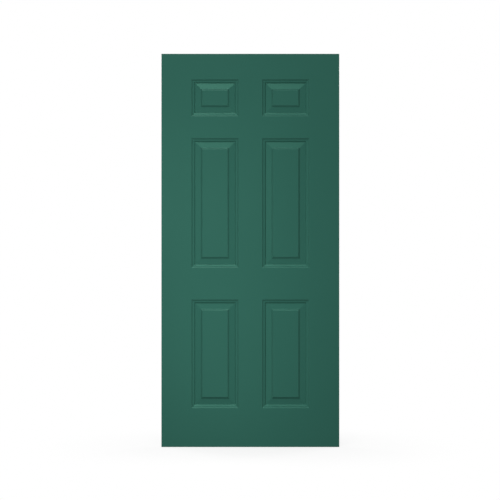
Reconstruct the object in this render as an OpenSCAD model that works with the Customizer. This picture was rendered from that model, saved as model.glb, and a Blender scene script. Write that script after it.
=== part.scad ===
// Leaf of an insulated steel front door with six raised panels, in millimetres.
// The origin is the middle of the bottom edge. +Z is up, and the outside face looks along -Y.

/* [Leaf] */
// Width over the two long edges
leaf_w = 908; // [820:1:1020]
// Height over the top and bottom edges
leaf_h = 2007; // [1900:1:2300]
// Thickness over the two facings
leaf_t = 44.5; // [40:0.5:56]

/* [Panel layout] */
// Flat margin between a long edge and the panels beside it
stile_margin = 153.5; // [135:0.5:175]
// Flat band between the left and right panels
mullion_margin = 121; // [90:0.5:160]
// Flat band above the top panels
top_margin = 130.5; // [110:0.5:170]
// Height of the top panels
top_panel_h = 188; // [160:0.5:260]
// Flat band between the top and middle panels
frieze_margin = 112; // [80:0.5:150]
// Flat band between the middle and bottom panels
lock_margin = 162; // [120:0.5:220]
// Height of the bottom panels
bottom_panel_h = 553.5; // [450:0.5:640]
// Flat band below the bottom panels
bottom_margin = 199; // [150:0.5:260]

/* [Panel moulding] */
// Run of the small slanted step at the moulding's outer edge
step_run = 6.3; // [4:0.1:9]
// Depth of that step
step_depth = 5.8; // [2:0.1:6]
// Width of the flat ledge between the step and the rounded ovolo
ledge_w = 2.6; // [0.5:0.1:5]
// Radius of the ovolo
ovolo_r = 10; // [8:0.5:13]
// Angle that the ovolo turns through, in degrees
ovolo_sweep = 70; // [50:1:75]
// Width of the flat valley at the foot of the ovolo
valley_w = 1.8; // [1:0.1:4]
// Width of the bevel that rises from the valley
bevel_w = 27.5; // [20:0.5:36]
// Rise of that bevel
bevel_rise = 4.2; // [2:0.1:5]
// Run of the shoulder round the raised field
shoulder_run = 8; // [5:0.1:11]
// Depth of the raised field below the face
field_depth = 1.1; // [0:0.1:2]

/* [Steel facings] */
// Thickness of the sheet
sheet_t = 0.6; // [0.4:0.05:0.9]
// Outside radius of the folded long edges
fold_r = 1.5; // [1:0.1:2.2]
// Width of the lip folded round each long edge
lip_w = 6.5; // [5:0.1:7.5]
// Depth of the hook at the lip's end, which grips the stile
hook_d = 5; // [3:0.1:8]
// Room on each side of a hook in its kerf
kerf_gap = 0.4; // [0.2:0.05:0.6]

/* [Timber frame] */
// Width of the two stiles
stile_w = 41; // [36:0.5:50]
// Height of the top rail
top_rail_h = 38; // [32:0.5:60]
// Height of the bottom rail
bottom_rail_h = 50; // [40:0.5:90]
// Height of the lock block
lock_block_h = 350; // [250:5:450]
// Height of the lock block's middle above the bottom edge
lock_block_z = 960; // [850:5:1050]
// Room between the lock block and the panels
lock_block_gap = 16; // [8:0.5:30]

/* [Hinge preparation] */
// Height of a hinge leaf
hinge_h = 101.6; // [88:0.1:128]
// Radius of its two round corners
hinge_corner_r = 15.9; // [6:0.1:16]
// Depth of its recess in the edge
hinge_recess = 2.5; // [2:0.1:3.5]
// Distance from the outside face to the recess
hinge_backset = 9.5; // [8.5:0.1:14]
// Distance from the leaf's top edge to the upper hinge
hinge_top_gap = 178; // [120:1:260]
// Distance from the leaf's bottom edge to the lower hinge
hinge_bottom_gap = 279; // [200:1:320]
// Spacing of the two outer pilot holes of a hinge
hinge_hole_span = 70; // [55:0.5:76]
// Distance from the inside face to those two holes
hinge_hole_setback = 14; // [10:0.5:16]
// How much farther from that face the middle hole lies
hinge_hole_stagger = 10; // [6:0.5:12]
// Diameter of the pilot holes, which are drilled right through the stile
pilot_d = 3.2; // [2.5:0.1:4]

/* [Corner staples] */
// Length of a staple's crown
staple_crown = 25; // [18:0.5:30]
// Length of a staple's legs
staple_leg = 15; // [10:0.5:17]
// Thickness of the square wire
staple_wire = 1.5; // [1:0.1:2]

/* [Hidden] */

paint_green = [0.2, 0.4, 0.35];
pine = [0.83, 0.68, 0.47];
foam_cream = [0.93, 0.87, 0.66];
zinc = [0.7, 0.72, 0.74];

// How far a cutting shape runs past the surface that it opens
cut = 1;
// Number of straight stretches in a rounded line
arc_steps = 8;

half_w = leaf_w / 2;
half_t = leaf_t / 2;
core_t = leaf_t - 2 * sheet_t;
stile_x = half_w - stile_w;
lock_block_w = stile_margin - stile_w - lock_block_gap;

panel_w = (leaf_w - 2 * stile_margin - mullion_margin) / 2;
panel_x = (mullion_margin + panel_w) / 2;
middle_panel_z = bottom_margin + bottom_panel_h + lock_margin;
top_panel_z = leaf_h - top_margin - top_panel_h;
middle_panel_h = top_panel_z - frieze_margin - middle_panel_z;
// Lower edge and height of each row of panels
panel_rows = [
    [bottom_margin, bottom_panel_h],
    [middle_panel_z, middle_panel_h],
    [top_panel_z, top_panel_h]
];

lower_hinge_z = hinge_bottom_gap + hinge_h / 2;
upper_hinge_z = leaf_h - hinge_top_gap - hinge_h / 2;
hinge_heights = [lower_hinge_z, (lower_hinge_z + upper_hinge_z) / 2, upper_hinge_z];
// Place of each pilot hole of a hinge: distance from the inside face, height from the hinge's middle
hinge_holes = [
    [hinge_hole_setback, -hinge_hole_span / 2],
    [hinge_hole_setback + hinge_hole_stagger, 0],
    [hinge_hole_setback, hinge_hole_span / 2]
];

// The panel's section, from its edge inwards: [distance from the edge, depth below the face]
ovolo_start = step_run + ledge_w;
valley_start = ovolo_start + ovolo_r * sin(ovolo_sweep);
valley_depth = step_depth + ovolo_r * (1 - cos(ovolo_sweep));
valley_end = valley_start + valley_w;
bevel_end = valley_end + bevel_w;
field_start = bevel_end + shoulder_run;
// Each line has one more point at its open end, which only gives the direction there
sunk_line = concat(
    [[-step_run, 0], [0, 0], [step_run, step_depth]],
    arc_points([ovolo_start, step_depth + ovolo_r], ovolo_r, -90, ovolo_sweep - 90)
);
raised_line = [
    [valley_end, valley_depth],
    [bevel_end, valley_depth - bevel_rise],
    [field_start, field_depth],
    [field_start + shoulder_run, field_depth]
];

// The folded edge's outer line, from the hook round to the face: [distance from the edge, depth]
hook_bend_r = sheet_t + kerf_gap / 2;
edge_line = concat(
    [[hook_d + fold_r, lip_w], [hook_d, lip_w]],
    arc_points([hook_bend_r, lip_w - hook_bend_r], hook_bend_r, 90, 180),
    arc_points([fold_r, fold_r], fold_r, 180, 270),
    [[2 * fold_r, 0], [3 * fold_r, 0]]
);

// Points on an arc about a centre
function arc_points(centre, r, from, to) =
    [for (i = [0 : arc_steps]) let (a = from + (to - from) * i / arc_steps) centre + r * [cos(a), sin(a)]];
// Unit vector across the line from a to b, to its left
function across(a, b) = [a[1] - b[1], b[0] - a[0]] / norm(b - a);
// Point b moved to the left by t, so that the moved stretches on both sides of it meet
function moved_point(a, b, c, t) =
    let (m = across(a, b), n = across(b, c)) b + t * (m + n) / (1 + m * n);
// A line moved to its left by t, without its two end points
function moved_line(line, t) =
    [for (i = [1 : len(line) - 2]) moved_point(line[i - 1], line[i], line[i + 1], t)];
function reversed(list) = [for (i = [len(list) - 1 : -1 : 0]) list[i]];
// Closed outline across a panel of this span, from a line that serves both of its sides
function outline(line, span) =
    concat([for (p = line) [p[0] - span / 2, p[1]]],
           [for (p = reversed(line)) [span / 2 - p[0], p[1]]]);

// The panel's lines at a depth of t behind the face, each run on past the surface that it opens
function moved_section(t) = moved_line(concat(sunk_line, raised_line), t);
function sunk_part(t) =
    let (s = moved_section(t), n = len(sunk_line) - 1)
    concat([[s[0][0], -cut]], [for (i = [0 : n - 1]) s[i]]);
function raised_part(t) =
    let (s = moved_section(t), n = len(sunk_line) - 1)
    concat([[s[n][0], valley_depth + t + cut]], [for (i = [n : len(s) - 1]) s[i]]);

// Solid with the same section across its width and up its height, mitred at the corners
module mitred_solid(line, w, h) {
    intersection() {
        linear_extrude(h + 2 * cut, center = true) polygon(outline(line, w));
        rotate([0, -90, 0]) linear_extrude(w + 2 * cut, center = true) polygon(outline(line, h));
    }
}

// The hollow of every panel, t behind the painted surface, with the outside face at y = 0
module panel_hollows(t) {
    for (row = panel_rows, side = [-1, 1])
        translate([side * panel_x, 0, row[0] + row[1] / 2])
            difference() {
                mitred_solid(sunk_part(t), panel_w, row[1]);
                mitred_solid(raised_part(t), panel_w, row[1]);
            }
}

module both_edges() {
    for (side = [0, 1])
        mirror([side, 0, 0]) children();
}

module both_faces() {
    for (side = [0, 1])
        mirror([0, side, 0]) children();
}

// Pressed sheet with its panels and its two folded edges, with the painted face at y = 0
module facing() {
    flat_half_w = half_w - fold_r;
    block_t = valley_depth + 2 * sheet_t;
    difference() {
        translate([-flat_half_w, 0, 0]) cube([2 * flat_half_w, block_t, leaf_h]);
        panel_hollows(0);
        difference() {
            translate([-half_w, sheet_t, -cut]) cube([leaf_w, block_t, leaf_h + 2 * cut]);
            panel_hollows(sheet_t);
        }
    }
    both_edges()
        translate([-half_w, 0, 0])
            linear_extrude(leaf_h)
                polygon(concat(moved_line(edge_line, 0), reversed(moved_line(edge_line, sheet_t))));
}

// Room that a folded edge takes out of the stile, with the painted face at y = 0
module folded_edge_room() {
    kerf_depth = hook_d + kerf_gap;
    kerf_near = lip_w - sheet_t - kerf_gap;
    kerf_far = lip_w + kerf_gap;
    translate([-half_w, 0, -cut])
        linear_extrude(leaf_h + 2 * cut)
            polygon([
                [-cut, 0], [sheet_t + fold_r, 0], [sheet_t + fold_r, sheet_t], [sheet_t, sheet_t + fold_r],
                [sheet_t, kerf_near], [kerf_depth, kerf_near], [kerf_depth, kerf_far], [-cut, kerf_far]
            ]);
}

// One stile on the -X edge, with the rebates and kerfs for both facings
module stile() {
    difference() {
        translate([-half_w, -core_t / 2, 0]) cube([stile_w, core_t, leaf_h]);
        both_faces() translate([0, -half_t, 0]) folded_edge_room();
        corner_staple_set();
    }
}

// One rail between the stiles
module rail(z, h) {
    difference() {
        translate([-stile_x, -core_t / 2, z]) cube([2 * stile_x, core_t, h]);
        corner_staple_set();
    }
}

// Recess for one hinge leaf, open at the edge and at the inside face
module hinge_pocket(z) {
    w = leaf_t - hinge_backset + cut;
    straight_h = hinge_h - 2 * hinge_corner_r;
    translate([-half_w - cut, hinge_backset - half_t, z])
        rotate([90, 0, 90])
            linear_extrude(hinge_recess + cut) {
                translate([hinge_corner_r, -hinge_h / 2]) square([w - hinge_corner_r, hinge_h]);
                translate([0, -straight_h / 2]) square([w, straight_h]);
                for (side = [-1, 1])
                    translate([hinge_corner_r, side * straight_h / 2]) circle(hinge_corner_r, $fn = 64);
            }
}

module hinge_pockets() {
    for (z = hinge_heights)
        hinge_pocket(z);
}

module pilot_holes() {
    for (z = hinge_heights, hole = hinge_holes)
        translate([-half_w, half_t - hole[0], z + hole[1]])
            rotate([0, 90, 0]) cylinder(h = stile_w + cut, d = pilot_d, $fn = 32);
}

// One staple across a frame joint, its crown's outer side at y = 0 and its legs along +Y
module staple() {
    translate([-staple_crown / 2, 0, -staple_wire / 2]) cube([staple_crown, staple_wire, staple_wire]);
    both_edges()
        translate([-staple_crown / 2, 0, -staple_wire / 2]) cube([staple_wire, staple_leg, staple_wire]);
}

// A staple on each side of the frame at each of its four corners
module corner_staple_set() {
    for (z = [bottom_rail_h / 2, leaf_h - top_rail_h / 2])
        both_edges() both_faces() translate([-stile_x, -core_t / 2, z]) staple();
}

module lock_block_blank() {
    translate([stile_x - lock_block_w, -core_t / 2, lock_block_z - lock_block_h / 2])
        cube([lock_block_w, core_t, lock_block_h]);
}

module exterior_facing() {
    color(paint_green) translate([0, -half_t, 0]) facing();
}

module interior_facing() {
    color(paint_green)
        difference() {
            mirror([0, 1, 0]) translate([0, -half_t, 0]) facing();
            hinge_pockets();
        }
}

module hinge_stile() {
    color(pine)
        difference() {
            stile();
            hinge_pockets();
            pilot_holes();
        }
}

module lock_stile() {
    color(pine) mirror([1, 0, 0]) stile();
}

module top_rail() {
    color(pine) rail(leaf_h - top_rail_h, top_rail_h);
}

module bottom_rail() {
    color(pine) rail(0, bottom_rail_h);
}

module lock_block() {
    color(pine) lock_block_blank();
}

module foam_core() {
    color(foam_cream)
        difference() {
            translate([-stile_x, -core_t / 2, bottom_rail_h])
                cube([2 * stile_x, core_t, leaf_h - bottom_rail_h - top_rail_h]);
            both_faces() translate([0, -half_t, 0]) panel_hollows(sheet_t);
            lock_block_blank();
        }
}

module corner_staples() {
    color(zinc) corner_staple_set();
}

exterior_facing();
interior_facing();
hinge_stile();
lock_stile();
top_rail();
bottom_rail();
lock_block();
foam_core();
corner_staples();
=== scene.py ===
# %% [markdown]
# # A panelled front door leaf
#
# The leaf is two pressed steel facings over a timber frame and a foam core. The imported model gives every
# piece its place and size, so it is loaded first, and everything below is built around it, in metres.

# %% Load the frame
import math

import bmesh
import bpy
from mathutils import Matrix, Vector


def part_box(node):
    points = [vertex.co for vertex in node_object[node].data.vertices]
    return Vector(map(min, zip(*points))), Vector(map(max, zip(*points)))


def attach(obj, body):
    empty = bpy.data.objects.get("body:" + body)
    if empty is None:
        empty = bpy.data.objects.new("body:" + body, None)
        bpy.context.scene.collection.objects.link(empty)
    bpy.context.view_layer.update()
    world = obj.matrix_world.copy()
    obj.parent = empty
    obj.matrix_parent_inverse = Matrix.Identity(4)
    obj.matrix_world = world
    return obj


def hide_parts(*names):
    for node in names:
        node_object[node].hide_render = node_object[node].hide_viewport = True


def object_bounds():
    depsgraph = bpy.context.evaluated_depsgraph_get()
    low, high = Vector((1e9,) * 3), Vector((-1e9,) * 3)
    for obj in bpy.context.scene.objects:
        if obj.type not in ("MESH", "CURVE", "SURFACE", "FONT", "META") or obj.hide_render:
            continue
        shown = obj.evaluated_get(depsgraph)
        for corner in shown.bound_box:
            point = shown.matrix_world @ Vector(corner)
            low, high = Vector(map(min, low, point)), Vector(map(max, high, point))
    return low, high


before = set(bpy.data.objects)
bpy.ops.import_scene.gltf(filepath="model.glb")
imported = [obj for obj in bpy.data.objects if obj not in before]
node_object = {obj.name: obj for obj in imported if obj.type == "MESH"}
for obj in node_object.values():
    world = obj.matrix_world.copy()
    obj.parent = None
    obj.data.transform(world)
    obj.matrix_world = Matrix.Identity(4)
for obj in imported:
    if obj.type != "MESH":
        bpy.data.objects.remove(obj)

cad_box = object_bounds()
print("CAD nodes:", sorted(node_object))

# %% [markdown]
# ## The sizes of the leaf
#
# The overall sizes come from the loaded model. The panel layout and the moulding's section are the same
# driving sizes that the solids have: flat margins round six panels, and a moulding that steps down,
# rounds over into a valley and climbs again to a raised field.

# %% Sizes of the leaf and its panels
low, high = cad_box
LEAF_W = high.x - low.x
LEAF_H = high.z - low.z
LEAF_T = high.y - low.y

STILE_MARGIN = 0.1535
MULLION_MARGIN = 0.121
TOP_MARGIN = 0.1305
TOP_PANEL_H = 0.188
FRIEZE_MARGIN = 0.112
LOCK_MARGIN = 0.162
BOTTOM_PANEL_H = 0.5535
BOTTOM_MARGIN = 0.199

panel_w = (LEAF_W - 2 * STILE_MARGIN - MULLION_MARGIN) / 2
panel_x = (MULLION_MARGIN + panel_w) / 2
bottom_panel_top = BOTTOM_MARGIN + BOTTOM_PANEL_H
middle_panel_bottom = bottom_panel_top + LOCK_MARGIN
top_panel_top = LEAF_H - TOP_MARGIN
top_panel_bottom = top_panel_top - TOP_PANEL_H
middle_panel_top = top_panel_bottom - FRIEZE_MARGIN
panel_rows = [
    (BOTTOM_MARGIN, bottom_panel_top),
    (middle_panel_bottom, middle_panel_top),
    (top_panel_bottom, top_panel_top),
]
print(f"leaf {LEAF_W:.3f} x {LEAF_H:.3f} x {LEAF_T:.4f}, panels {panel_w:.4f} wide")

# %% Sizes of the moulding and the sheet
STEP_RUN = 0.0063
STEP_DEPTH = 0.0058
LEDGE_W = 0.0026
OVOLO_R = 0.010
OVOLO_SWEEP = math.radians(70)
OVOLO_STEPS = 8
VALLEY_W = 0.0018
BEVEL_W = 0.0275
BEVEL_RISE = 0.0042
SHOULDER_RUN = 0.008
FIELD_DEPTH = 0.0011

SHEET_T = 0.0006
FOLD_R = 0.0015
LIP_W = 0.0065
HOOK_D = 0.005

valley_depth = STEP_DEPTH + OVOLO_R * (1 - math.cos(OVOLO_SWEEP))
shoulder_rise = valley_depth - BEVEL_RISE - FIELD_DEPTH
print(f"valley {valley_depth * 1000:.2f} mm deep, shoulder {shoulder_rise * 1000:.2f} mm high")

# %% [markdown]
# ## The pressed facing
#
# On the real door, a flat steel sheet is pressed between two dies, which draw all six panels at once, and
# its long edges are then folded round the timber. A subdivided sheet could be sculpted, or the solid could
# be cut with booleans, but a plane with inset faces follows the press: each inset is one stretch of the
# moulding, the corners come out mitred, and the faces stay clean quads that take a bevel well.

# %% Helpers for edit mode
SNAP = 1e-5


def select_faces(piece, wanted):
    """Select the faces whose centre passes the test, and return how many there are."""
    mesh = bmesh.from_edit_mesh(piece.data)
    count = 0
    for face in mesh.faces:
        chosen = wanted(face.calc_center_median())
        face.select_set(chosen)
        count += chosen
    bmesh.update_edit_mesh(piece.data)
    return count


def select_edges(piece, wanted):
    """Select the edges that pass the test, and return how many there are."""
    mesh = bmesh.from_edit_mesh(piece.data)
    for face in mesh.faces:
        face.select_set(False)
    chosen = [edge for edge in mesh.edges if wanted(edge)]
    for edge in mesh.edges:
        edge.select_set(False)
    for edge in chosen:
        edge.select_set(True)
    bmesh.update_edit_mesh(piece.data)
    return len(chosen)


# %% A plane the size of the leaf's outside face
face_y = low.y
bpy.ops.object.select_all(action="DESELECT")
bpy.ops.mesh.primitive_plane_add(
    size=1, location=(0, face_y, LEAF_H / 2), rotation=(math.radians(90), 0, 0)
)
exterior = bpy.context.object
exterior.name = "exterior_facing_sheet"
exterior.scale = (LEAF_W, LEAF_H, 1)
bpy.ops.object.transform_apply(location=True, rotation=True, scale=True)
print("facing normal", tuple(round(c) for c in exterior.data.polygons[0].normal))

# %% [markdown]
# The panels' edges are marked by cutting the plane along lines that run right across it. Bisect does that
# without a window, as a chalk line does on the sheet.

# %% Mark the panels' edges
across_cuts = [side * (panel_x + end * panel_w / 2) for side in (-1, 1) for end in (-1, 1)]
height_cuts = [z for row in panel_rows for z in row]

bpy.ops.object.mode_set(mode="EDIT")
bpy.ops.mesh.select_mode(type="FACE")
for x in across_cuts:
    bpy.ops.mesh.select_all(action="SELECT")
    bpy.ops.mesh.bisect(plane_co=(x, 0, 0), plane_no=(1, 0, 0))
for z in height_cuts:
    bpy.ops.mesh.select_all(action="SELECT")
    bpy.ops.mesh.bisect(plane_co=(0, 0, z), plane_no=(0, 0, 1))


def in_a_panel(centre):
    """Is this point inside one of the six panels?"""
    beside = abs(abs(centre.x) - panel_x) < panel_w / 2
    return beside and any(bottom < centre.z < top for bottom, top in panel_rows)


print("panels marked:", select_faces(exterior, in_a_panel))

# %% [markdown]
# Each stretch of the moulding is one inset: so far in from the edge, and so far down or up. The rounded
# ovolo is a run of short insets whose points lie on an arc, because an arc needs no more than that.

# %% Press the panels, one inset for each stretch of the moulding
ovolo_angles = [OVOLO_SWEEP * i / OVOLO_STEPS for i in range(OVOLO_STEPS + 1)]
ovolo_points = [(OVOLO_R * math.sin(a), OVOLO_R * (1 - math.cos(a))) for a in ovolo_angles]
ovolo_stretches = [
    (after[0] - before[0], after[1] - before[1])
    for before, after in zip(ovolo_points, ovolo_points[1:])
]
moulding = [
    (STEP_RUN, STEP_DEPTH),
    (LEDGE_W, 0.0),
    *ovolo_stretches,
    (VALLEY_W, 0.0),
    (BEVEL_W, -BEVEL_RISE),
    (SHOULDER_RUN, -shoulder_rise),
]
for run, drop in moulding:
    bpy.ops.mesh.inset(thickness=run, depth=-drop, use_individual=True)
print("stretches pressed:", len(moulding), "- faces now:", len(bmesh.from_edit_mesh(exterior.data).faces))

# %% [markdown]
# A die never leaves a knife edge in sheet steel. The creases that run round each panel get a small radius,
# which also catches the thin highlight that tells the eye it is metal. The short stretches of the ovolo
# turn by less than a crease does, so the angle across an edge picks the creases out.

# %% Round the creases of the pressing
CREASE_ANGLE = math.radians(10)
CREASE_R = 0.0007
CREASE_STEPS = 3


def runs_round_a_panel(edge):
    """Is this edge a crease that runs level or upright, and not a mitre at a corner?"""
    if len(edge.link_faces) != 2 or edge.calc_face_angle() < CREASE_ANGLE:
        return False
    along = edge.verts[1].co - edge.verts[0].co
    return abs(along.x) < SNAP or abs(along.z) < SNAP


bpy.ops.mesh.select_mode(type="EDGE")
print("creases:", select_edges(exterior, runs_round_a_panel))
bpy.ops.mesh.bevel(offset=CREASE_R, segments=CREASE_STEPS, affect="EDGES", clamp_overlap=True)

# %% [markdown]
# Where two stretches of moulding meet in a corner of a panel, the mitre stays a clean line. Its edges slant,
# while every crease runs level or upright, so the mitres are found by their direction and marked sharp.

# %% Mark the mitres
def is_mitre(edge):
    """Does this edge run slantwise, from a panel's corner inwards?"""
    along = edge.verts[1].co - edge.verts[0].co
    return abs(abs(along.x) - abs(along.z)) < SNAP and abs(along.x) > SNAP


print("mitre edges:", select_edges(exterior, is_mitre))
bpy.ops.mesh.mark_sharp()

# %% [markdown]
# The long edges are folded back over the timber and end in a short hook. Extruding the two side edges and
# then drawing their new ends together makes both lips at once.

# %% Fold the long edges
FOLD_STEPS = 5

half_w = LEAF_W / 2


def on_long_edge(edge):
    """Is this the open edge of the sheet at the left or the right?"""
    return edge.is_boundary and all(abs(abs(v.co.x) - half_w) < SNAP for v in edge.verts)


def is_fold(edge):
    """Is this the corner between the face and a lip?"""
    return all(abs(abs(v.co.x) - half_w) < SNAP and abs(v.co.y - face_y) < SNAP for v in edge.verts)


select_edges(exterior, on_long_edge)
bpy.ops.mesh.extrude_region_move(TRANSFORM_OT_translate={"value": (0, LIP_W, 0)})
bpy.ops.mesh.extrude_region_move(TRANSFORM_OT_translate={"value": (0, 0, 0)})
bpy.ops.transform.resize(value=((half_w - HOOK_D) / half_w, 1, 1), center_override=(0, 0, 0))
print("fold edges:", select_edges(exterior, is_fold))
bpy.ops.mesh.bevel(offset=FOLD_R, segments=FOLD_STEPS, affect="EDGES")
bpy.ops.mesh.select_all(action="SELECT")
bpy.ops.mesh.normals_make_consistent(inside=False)
bpy.ops.object.mode_set(mode="OBJECT")
faces = exterior.data.polygons
print("normal of the first face:", tuple(round(c, 2) for c in faces[0].normal), "of", len(faces))

# %% [markdown]
# So far the sheet has no thickness. The real one is 0.6 mm steel from a coil. A second skin could be extruded
# by hand, but Solidify keeps the gauge even on slanted stretches too. It grows inwards, so the painted side
# stays where the die put it.

# %% Give the sheet its thickness
bpy.ops.object.modifier_add(type="SOLIDIFY")
sheet = exterior.modifiers[-1]
sheet.thickness = SHEET_T
sheet.offset = -1
sheet.use_even_offset = True
bpy.ops.object.modifier_apply(modifier=sheet.name)
print("exterior facing:", len(exterior.data.polygons), "faces")

# %% [markdown]
# ## The room side
#
# The same die presses both facings, so the second one is a copy of the first with a mesh of its own, turned
# half round. Its fold is notched where the hinge leaves sit. Boxes cut the notches with a Boolean modifier,
# as a punch does, because the notch runs through the face, the lip and the hook alike.

# %% Turn a copy of the facing to the room side
bpy.ops.object.select_all(action="DESELECT")
exterior.select_set(True)
bpy.context.view_layer.objects.active = exterior
bpy.ops.object.duplicate(linked=False)
interior = bpy.context.object
interior.name = "interior_facing_sheet"
interior.rotation_euler.z = math.pi
bpy.ops.object.transform_apply(location=False, rotation=True, scale=False)
print("interior facing at y from", round(min(v.co.y for v in interior.data.vertices), 4))

# %% Notch its fold for the hinges
HINGE_H = 0.1016
HINGE_RECESS = 0.0025
HINGE_TOP_GAP = 0.178
HINGE_BOTTOM_GAP = 0.279
PUNCH_PAST = 0.002

lower_hinge = HINGE_BOTTOM_GAP + HINGE_H / 2
upper_hinge = LEAF_H - HINGE_TOP_GAP - HINGE_H / 2
hinge_heights = [lower_hinge, (lower_hinge + upper_hinge) / 2, upper_hinge]
punch_w = HINGE_RECESS + PUNCH_PAST
punch_t = LIP_W + 2 * PUNCH_PAST

for height in hinge_heights:
    bpy.ops.object.select_all(action="DESELECT")
    bpy.ops.mesh.primitive_cube_add(
        size=1, location=(low.x + HINGE_RECESS - punch_w / 2, high.y - LIP_W / 2, height)
    )
    punch = bpy.context.object
    punch.scale = (punch_w, punch_t, HINGE_H)
    bpy.ops.object.transform_apply(location=True, rotation=True, scale=True)
    bpy.context.view_layer.objects.active = interior
    bpy.ops.object.modifier_add(type="BOOLEAN")
    notch = interior.modifiers[-1]
    notch.operation = "DIFFERENCE"
    notch.solver = "EXACT"
    notch.object = punch
    bpy.ops.object.modifier_apply(modifier=notch.name)
    bpy.data.objects.remove(punch)
print("interior facing:", len(interior.data.polygons), "faces, notches:", len(hinge_heights))

# %% [markdown]
# Painted sheet looks smooth across its small radii and crisp at its mitres. Smoothing by angle alone would
# blur the mitres of the shallow bevels, so those edges were marked sharp. The Weighted Normal modifier then
# gives the broad flat faces the last word, and they shade dead flat right up to the creases.

# %% Smooth the two sheets
SMOOTH_ANGLE = math.radians(30)

for piece in (exterior, interior):
    bpy.ops.object.select_all(action="DESELECT")
    piece.select_set(True)
    bpy.context.view_layer.objects.active = piece
    bpy.ops.object.shade_smooth_by_angle(angle=SMOOTH_ANGLE, keep_sharp_edges=True)
    bpy.ops.object.modifier_add(type="WEIGHTED_NORMAL")
    weighted = piece.modifiers[-1]
    weighted.keep_sharp = True
    bpy.ops.object.modifier_apply(modifier=weighted.name)
    print(piece.name, "has", sum(edge.use_edge_sharp for edge in piece.data.edges), "sharp edges")

# %% [markdown]
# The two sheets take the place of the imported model's facings, which have the same form without the small
# radii. The leaf is one body, so both ride on it.

# %% Put the sheets in the frame
for piece, node in ((exterior, "exterior_facing"), (interior, "interior_facing")):
    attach(piece, "root")
    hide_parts(node)
print("sheets ride on root")

# %% [markdown]
# ## Effects that several finishes share
#
# Real surfaces are never one flat colour. Two small node groups bring that in: a slow, cloudy drift of tone,
# and a fine relief for bumps. Each is built once and placed in a material with its own size and amount.

# %% Helpers for node trees
def add_node(tree, kind, **settings):
    """Add a node of this kind and set its properties."""
    node = tree.nodes.new(kind)
    for name, value in settings.items():
        setattr(node, name, value)
    return node


def math_node(tree, operation, first, second=None):
    """Add a Math node fed by two numbers or sockets, and return its output."""
    node = add_node(tree, "ShaderNodeMath", operation=operation)
    for socket, source in zip(node.inputs, (first, second)):
        if isinstance(source, bpy.types.NodeSocket):
            tree.links.new(source, socket)
        elif source is not None:
            socket.default_value = source
    return node.outputs[0]


def new_group(name, inputs, outputs):
    """Start a shader node group with these sockets, and return it with its two end nodes."""
    group = bpy.data.node_groups.new(name, "ShaderNodeTree")
    for label, kind in inputs:
        group.interface.new_socket(label, in_out="INPUT", socket_type=kind)
    for label, kind in outputs:
        group.interface.new_socket(label, in_out="OUTPUT", socket_type=kind)
    return group, group.nodes.new("NodeGroupInput"), group.nodes.new("NodeGroupOutput")


VECTOR, NUMBER, COLOUR = "NodeSocketVector", "NodeSocketFloat", "NodeSocketColor"

# %% Cloudy drift of tone
cloudy_tone, start, end = new_group(
    "cloudy_tone", [("Vector", VECTOR), ("Size", NUMBER), ("Amount", NUMBER)], [("Tone", NUMBER)]
)
cloud = add_node(cloudy_tone, "ShaderNodeTexNoise")
cloud.inputs["Detail"].default_value = 3
cloudy_tone.links.new(start.outputs["Vector"], cloud.inputs["Vector"])
cloudy_tone.links.new(math_node(cloudy_tone, "DIVIDE", 1.0, start.outputs["Size"]), cloud.inputs["Scale"])
drift = math_node(cloudy_tone, "SUBTRACT", cloud.outputs["Fac"], 0.5)
swing = math_node(cloudy_tone, "MULTIPLY", drift, start.outputs["Amount"])
cloudy_tone.links.new(math_node(cloudy_tone, "ADD", swing, 1.0), end.inputs["Tone"])
print("group", cloudy_tone.name, "has", len(cloudy_tone.nodes), "nodes")

# %% Fine relief
fine_relief, start, end = new_group(
    "fine_relief", [("Vector", VECTOR), ("Size", NUMBER)], [("Height", NUMBER)]
)
grain = add_node(fine_relief, "ShaderNodeTexNoise")
grain.inputs["Detail"].default_value = 2
fine_relief.links.new(start.outputs["Vector"], grain.inputs["Vector"])
fine_relief.links.new(math_node(fine_relief, "DIVIDE", 1.0, start.outputs["Size"]), grain.inputs["Scale"])
fine_relief.links.new(grain.outputs["Fac"], end.inputs["Height"])
print("group", fine_relief.name, "has", len(fine_relief.nodes), "nodes")

# %% Helpers for materials
def new_material(name):
    """Start a material, and return it with its tree, its shader and its place on the object."""
    material = bpy.data.materials.new(name)
    material.use_nodes = True
    tree = material.node_tree
    place = add_node(tree, "ShaderNodeTexCoord").outputs["Object"]
    return material, tree, tree.nodes["Principled BSDF"], place


def place_group(tree, group, vector, **values):
    """Place a shared effect in a material with its own values, and return its node."""
    node = add_node(tree, "ShaderNodeGroup", node_tree=group)
    tree.links.new(vector, node.inputs["Vector"])
    for label, value in values.items():
        node.inputs[label].default_value = value
    return node


def tinted(tree, colour, tone):
    """Return a colour made lighter or darker by a tone. The colour is a socket or four numbers."""
    node = add_node(tree, "ShaderNodeHueSaturation")
    tree.links.new(tone, node.inputs["Value"])
    if isinstance(colour, bpy.types.NodeSocket):
        tree.links.new(colour, node.inputs["Color"])
    else:
        node.inputs["Color"].default_value = colour
    return node.outputs["Color"]


def bumped(tree, height, depth):
    """Return the surface normal, raised by a height from 0 to 1 that stands for this depth in metres."""
    node = add_node(tree, "ShaderNodeBump")
    node.inputs["Distance"].default_value = depth
    tree.links.new(height, node.inputs["Height"])
    return node.outputs["Normal"]


# %% [markdown]
# ## The paint
#
# The steel leaves the press primed and gets a sprayed satin finish, a deep blue-green. Spray settles with a
# faint orange-peel skin, and its gloss drifts a little over the face. A single colour would look like
# plastic, so the shader gets that drift in tone and gloss, and the skin as a bump ten microns deep.
# Its highlights stay green, so the sheen is tinted like the paint: a white one would look grey on it.

# %% Satin green paint
PAINT_GREEN = (0.0275, 0.118, 0.0895, 1)
PAINT_SPECULAR = 0.24
PAINT_SHEEN = (0.37, 1.0, 0.73, 1)
PAINT_ROUGHNESS = 0.30
SKIN_DEPTH = 0.00001

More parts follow.
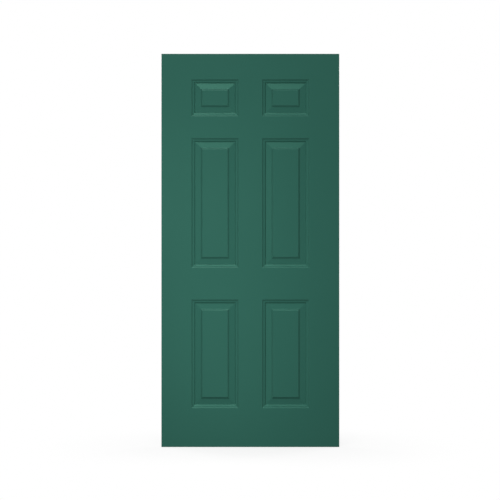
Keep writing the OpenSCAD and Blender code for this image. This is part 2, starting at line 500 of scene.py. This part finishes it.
paint, tree, shader, place = new_material("satin_green_paint")
tone = place_group(tree, cloudy_tone, place, Size=0.35, Amount=0.06)
sheen = place_group(tree, cloudy_tone, place, Size=0.09, Amount=0.25)
skin = place_group(tree, fine_relief, place, Size=0.0022)
roughness = math_node(tree, "MULTIPLY", sheen.outputs["Tone"], PAINT_ROUGHNESS)
tree.links.new(tinted(tree, PAINT_GREEN, tone.outputs["Tone"]), shader.inputs["Base Color"])
tree.links.new(roughness, shader.inputs["Roughness"])
tree.links.new(bumped(tree, skin.outputs["Height"], SKIN_DEPTH), shader.inputs["Normal"])
shader.inputs["Specular IOR Level"].default_value = PAINT_SPECULAR
shader.inputs["Specular Tint"].default_value = PAINT_SHEEN
for piece in (exterior, interior):
    piece.data.materials.clear()
    piece.data.materials.append(paint)
print("paint", paint.name, "on", [piece.name for piece in (exterior, interior)])

# %% [markdown]
# ## The timber
#
# The stiles, rails and lock block are pine, glued up from short lengths with finger joints, and they show
# along the leaf's edges. Wood could be painted on from a flat pattern, but then the end grain would not meet
# the side grain. So the wood is solid: rings round a pith that lies outside the piece, worked out at every
# point in space. Each length between two joints has a pith and a tone of its own.

# %% Pine with finger joints, as a group
FINGER_L = 0.010
FINGER_PITCH = 0.0042
BLOCK_L = 0.43
GLUE_W = 0.0005
RING_W = 0.0036


def vector_node(tree, operation, first, second):
    """Add a Vector Math node fed by two sockets or triples, and return the node."""
    node = add_node(tree, "ShaderNodeVectorMath", operation=operation)
    for socket, source in zip(node.inputs, (first, second)):
        if isinstance(source, bpy.types.NodeSocket):
            tree.links.new(source, socket)
        else:
            socket.default_value = source
    return node


timber, start, end = new_group(
    "timber", [("Vector", VECTOR)], [("Color", COLOUR), ("Roughness", NUMBER), ("Height", NUMBER)]
)
position = start.outputs["Vector"]
axes = add_node(timber, "ShaderNodeSeparateXYZ")
timber.links.new(position, axes.inputs[0])
zigzag = math_node(timber, "PINGPONG", axes.outputs["Y"], FINGER_PITCH / 2)
fingers = math_node(timber, "MULTIPLY", zigzag, 2 * FINGER_L / FINGER_PITCH)
blocks = math_node(timber, "DIVIDE", math_node(timber, "ADD", axes.outputs["Z"], fingers), BLOCK_L)
lot = add_node(timber, "ShaderNodeTexWhiteNoise", noise_dimensions="1D")
timber.links.new(math_node(timber, "FLOOR", blocks), lot.inputs["W"])
print("blocks of", BLOCK_L, "m with fingers of", FINGER_L, "m")

# %% The rings of each block
PITH = (0.050, 0.030, 0.0)
PITH_SPREAD = (0.08, 0.06, 0.0)
WANDER = (0.016, 0.016, 0.0)
WANDER_SCALE = (9, 9, 1.6)
MIDDLE = (0.5, 0.5, 0.5)
FLAT = (1, 1, 0)
EARLY_WOOD = (0.66, 0.45, 0.24, 1)
MIDDLE_WOOD = (0.60, 0.39, 0.19, 1)
LATE_WOOD = (0.40, 0.22, 0.09, 1)
RING_END = (0.62, 0.41, 0.21, 1)

sway = add_node(timber, "ShaderNodeTexNoise")
sway.inputs["Scale"].default_value = 1.0
stretched = vector_node(timber, "MULTIPLY", position, WANDER_SCALE).outputs[0]
timber.links.new(stretched, sway.inputs["Vector"])
swayed = vector_node(timber, "SUBTRACT", sway.outputs["Color"], MIDDLE).outputs[0]
shifted = vector_node(timber, "SUBTRACT", lot.outputs["Color"], MIDDLE).outputs[0]
across = vector_node(timber, "MULTIPLY", position, FLAT).outputs[0]
for source, amount in ((swayed, WANDER), (shifted, PITH_SPREAD)):
    step = vector_node(timber, "MULTIPLY", source, amount).outputs[0]
    across = vector_node(timber, "ADD", across, step).outputs[0]
radius = vector_node(timber, "DISTANCE", across, PITH).outputs["Value"]
ring = math_node(timber, "FRACT", math_node(timber, "DIVIDE", radius, RING_W))
ring_colour = add_node(timber, "ShaderNodeValToRGB")
timber.links.new(ring, ring_colour.inputs["Fac"])
stops = ring_colour.color_ramp.elements
stops[0].color = EARLY_WOOD
stops[1].color = RING_END
for place_on_ring, colour in ((0.5, MIDDLE_WOOD), (0.86, LATE_WOOD)):
    stops.new(place_on_ring).color = colour
print("ring of", RING_W, "m with", len(stops), "stops")

# %% The fibres, the glue lines and the group's outputs
FIBRE_SCALE = (900, 900, 16)
FIBRE_TONES = (0.82, 1.18)
BLOCK_TONES = (0.88, 1.10)
GLUE_TONES = (1.0, 0.65)
WOOD_ROUGHNESS = (0.5, 0.7)


def spread(tree, share, ends):
    """Return the value that lies this share of the way, from 0 to 1, between two ends."""
    first, last = ends
    return math_node(tree, "ADD", math_node(tree, "MULTIPLY", share, last - first), first)


fibre = add_node(timber, "ShaderNodeTexNoise")
fibre.inputs["Scale"].default_value = 1.0
drawn_out = vector_node(timber, "MULTIPLY", position, FIBRE_SCALE).outputs[0]
timber.links.new(drawn_out, fibre.inputs["Vector"])
fibre_tone = spread(timber, fibre.outputs["Fac"], FIBRE_TONES)
block_tone = spread(timber, lot.outputs["Value"], BLOCK_TONES)
glue = math_node(timber, "LESS_THAN", math_node(timber, "FRACT", blocks), GLUE_W / BLOCK_L)
glue_tone = spread(timber, glue, GLUE_TONES)
tone = math_node(timber, "MULTIPLY", math_node(timber, "MULTIPLY", fibre_tone, block_tone), glue_tone)
roughness = spread(timber, fibre.outputs["Fac"], WOOD_ROUGHNESS)
timber.links.new(tinted(timber, ring_colour.outputs["Color"], tone), end.inputs["Color"])
timber.links.new(roughness, end.inputs["Roughness"])
timber.links.new(fibre.outputs["Fac"], end.inputs["Height"])
print("group", timber.name, "has", len(timber.nodes), "nodes")

# %% Pine on each piece of the frame
UPRIGHT = (0, 0, 0)
LEVEL = (0, math.radians(90), 0)
FIBRE_DEPTH = 0.0002

for node, turn in (
    ("hinge_stile", UPRIGHT),
    ("lock_stile", UPRIGHT),
    ("lock_block", UPRIGHT),
    ("top_rail", LEVEL),
    ("bottom_rail", LEVEL),
):
    near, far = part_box(node)
    pine, tree, shader, place = new_material("pine_" + node)
    centred = add_node(tree, "ShaderNodeMapping", vector_type="TEXTURE")
    centred.inputs["Location"].default_value = (near + far) / 2
    centred.inputs["Rotation"].default_value = turn
    tree.links.new(place, centred.inputs["Vector"])
    wood = place_group(tree, timber, centred.outputs["Vector"])
    tree.links.new(wood.outputs["Color"], shader.inputs["Base Color"])
    tree.links.new(wood.outputs["Roughness"], shader.inputs["Roughness"])
    tree.links.new(bumped(tree, wood.outputs["Height"], FIBRE_DEPTH), shader.inputs["Normal"])
    node_object[node].material_slots[0].material = pine
    print(node, "has", pine.name)

# %% [markdown]
# ## What the leaf hides
#
# The foam and the staples are sealed inside, but whoever opens the leaf should find them right. The foam is
# cream with fine closed cells, and the staples are galvanised wire with a mottled zinc skin.

# %% Foam
FOAM_CREAM = (0.85, 0.74, 0.42, 1)
FOAM_ROUGHNESS = 0.85
CELLS_PER_METRE = 800
CELL_DEPTH = 0.0004

foam, tree, shader, place = new_material("cream_foam")
cells = add_node(tree, "ShaderNodeTexVoronoi")
cells.inputs["Scale"].default_value = CELLS_PER_METRE
tree.links.new(place, cells.inputs["Vector"])
tone = place_group(tree, cloudy_tone, place, Size=0.05, Amount=0.2)
tree.links.new(tinted(tree, FOAM_CREAM, tone.outputs["Tone"]), shader.inputs["Base Color"])
tree.links.new(bumped(tree, cells.outputs["Distance"], CELL_DEPTH), shader.inputs["Normal"])
shader.inputs["Roughness"].default_value = FOAM_ROUGHNESS
node_object["foam_core"].material_slots[0].material = foam
print("foam on foam_core")

# %% Galvanised wire
ZINC = (0.55, 0.56, 0.58, 1)
ZINC_ROUGHNESS = 0.4
SCUFF_DEPTH = 0.00002

wire, tree, shader, place = new_material("galvanised_wire")
mottle = place_group(tree, cloudy_tone, place, Size=0.002, Amount=0.5)
scuff = place_group(tree, fine_relief, place, Size=0.0006)
tree.links.new(tinted(tree, ZINC, mottle.outputs["Tone"]), shader.inputs["Base Color"])
roughness = math_node(tree, "MULTIPLY", mottle.outputs["Tone"], ZINC_ROUGHNESS)
tree.links.new(roughness, shader.inputs["Roughness"])
tree.links.new(bumped(tree, scuff.outputs["Height"], SCUFF_DEPTH), shader.inputs["Normal"])
shader.inputs["Metallic"].default_value = 1.0
node_object["corner_staples"].material_slots[0].material = wire
print("wire on corner_staples")

# %% [markdown]
# ## The studio
#
# The leaf stands on a pale floor in front of white. Lamps strong enough to burn the floor white would bleach
# the paint too, so the floor and the world are white only to the camera and to reflections. Near the leaf the
# floor keeps a share of plain matte paint, which holds the leaf's shadow, and the share fades farther out.

# %% Floor
FLOOR_SIZE = 60
FLOOR_PAINT = (0.8, 0.8, 0.8, 1)
SHADOW_SHARE = 0.20
SHADOW_REACH = 1.2

bpy.ops.object.select_all(action="DESELECT")
bpy.ops.mesh.primitive_plane_add(size=FLOOR_SIZE, location=(0, 0, 0))
floor = bpy.context.object
floor.name = "floor"


def seen_as_white(tree):
    """Return 1 for the rays that should see a white background, and 0 for the rays that light the leaf."""
    rays = add_node(tree, "ShaderNodeLightPath").outputs
    seen = math_node(tree, "MAXIMUM", rays["Is Camera Ray"], rays["Is Glossy Ray"])
    return math_node(tree, "MAXIMUM", seen, rays["Is Transmission Ray"])


white, tree, shader, place = new_material("white_floor")
tree.nodes.remove(shader)
matte = add_node(tree, "ShaderNodeBsdfDiffuse")
matte.inputs["Color"].default_value = FLOOR_PAINT
glow = add_node(tree, "ShaderNodeEmission")
tree.links.new(seen_as_white(tree), glow.inputs["Strength"])
away = add_node(tree, "ShaderNodeVectorMath", operation="LENGTH")
tree.links.new(place, away.inputs[0])
fade = add_node(tree, "ShaderNodeMapRange", interpolation_type="SMOOTHSTEP")
fade.inputs["From Max"].default_value = SHADOW_REACH
fade.inputs["To Min"].default_value = 1 - SHADOW_SHARE
fade.inputs["To Max"].default_value = 1.0
tree.links.new(away.outputs["Value"], fade.inputs["Value"])
blend = add_node(tree, "ShaderNodeMixShader")
tree.links.new(fade.outputs[0], blend.inputs["Fac"])
tree.links.new(matte.outputs[0], blend.inputs[1])
tree.links.new(glow.outputs[0], blend.inputs[2])
tree.links.new(blend.outputs[0], tree.nodes["Material Output"].inputs["Surface"])
floor.data.materials.append(white)
print("floor", tuple(floor.dimensions))

# %% [markdown]
# A studio's pale walls send a little light back from every side. The world does the same: it is white where
# it is seen, and a faint even light where it shines on the leaf.

# %% World
AMBIENT = 0.05

world = bpy.data.worlds.new("white_studio")
bpy.context.scene.world = world
world.use_nodes = True
tree = world.node_tree
background = tree.nodes["Background"]
background.inputs["Color"].default_value = (1, 1, 1, 1)
brightness = math_node(tree, "MAXIMUM", seen_as_white(tree), AMBIENT)
tree.links.new(brightness, background.inputs["Strength"])
print("world", world.name)

# %% [markdown]
# The lamps are soft boxes. Two hang far in front and high up, and a weaker one almost straight overhead, so
# that every surface that looks up is bright and every one that looks down is dark, which draws the panels. A
# small one lower down puts a sheen on the upper bevels. Two weak fills near the leaf even out its left half
# and its foot. A glossy face would mirror them as white patches, so they are kept out of reflections. Two
# lamps behind the leaf show its room side.

# %% Soft boxes
def add_softbox(name, place, aim, size, watts, reflected=True):
    """Add a lamp of this width and height at a place, turned towards a point. The camera looks past it."""
    bpy.ops.object.select_all(action="DESELECT")
    bpy.ops.object.light_add(type="AREA", location=place)
    lamp = bpy.context.object
    lamp.name = name
    lamp.data.shape = "RECTANGLE"
    lamp.data.size, lamp.data.size_y = size
    lamp.data.energy = watts
    lamp.rotation_euler = (Vector(aim) - Vector(place)).to_track_quat("-Z", "Y").to_euler()
    lamp.visible_camera = False
    lamp.visible_glossy = reflected
    print(name, "at", place, "with", watts, "W")


leaf_middle = (0, low.y, LEAF_H / 2)
add_softbox("key_lamp", (-0.5, -5.0, 5.0), leaf_middle, (1.6, 1.2), 101)
add_softbox("high_lamp", (-0.5, -3.5, 7.0), leaf_middle, (1.6, 1.2), 90)
add_softbox("sheen_lamp", (-0.65, -5.0, 3.75), leaf_middle, (0.8, 0.5), 15)
add_softbox("overhead_lamp", (-0.5, -0.4, 5.0), leaf_middle, (1.6, 0.8), 17)
add_softbox("upper_fill", (-0.45, -1.4, 1.3), (-0.45, 0, 1.3), (1.0, 0.8), 6.8, reflected=False)
add_softbox("low_fill", (-0.2, -1.4, 0.4), (-0.2, 0, 0.4), (0.6, 0.8), 7.2, reflected=False)
add_softbox("room_left_lamp", (-2.2, 2.4, 2.6), leaf_middle, (1.2, 1.2), 62)
add_softbox("room_right_lamp", (2.2, 2.4, 2.6), leaf_middle, (1.2, 1.2), 62)

# %% [markdown]
# ## The camera
#
# The leaf is seen square on, with no side or top edge showing, so a long lens stands far back at the height
# of the leaf's middle. The picture takes in a width of FRAME_W at the leaf's face. In the photo the leaf lies
# a few millimetres off the picture's middle, so the camera is set off by as much.

# %% Camera
LENS = 135
SENSOR = 36
FRAME_W = 2.552
VIEW_X = -0.0018
VIEW_Z = 1.0057

bpy.ops.object.camera_add(
    location=(VIEW_X, low.y - FRAME_W * LENS / SENSOR, VIEW_Z), rotation=(math.radians(90), 0, 0)
)
camera = bpy.context.object
camera.data.lens = LENS
camera.data.sensor_width = SENSOR
camera.data.sensor_fit = "HORIZONTAL"
camera.data.dof.use_dof = False
bpy.context.scene.camera = camera
bpy.context.scene.view_settings.view_transform = "Standard"
print("camera at", tuple(round(c, 3) for c in camera.location))
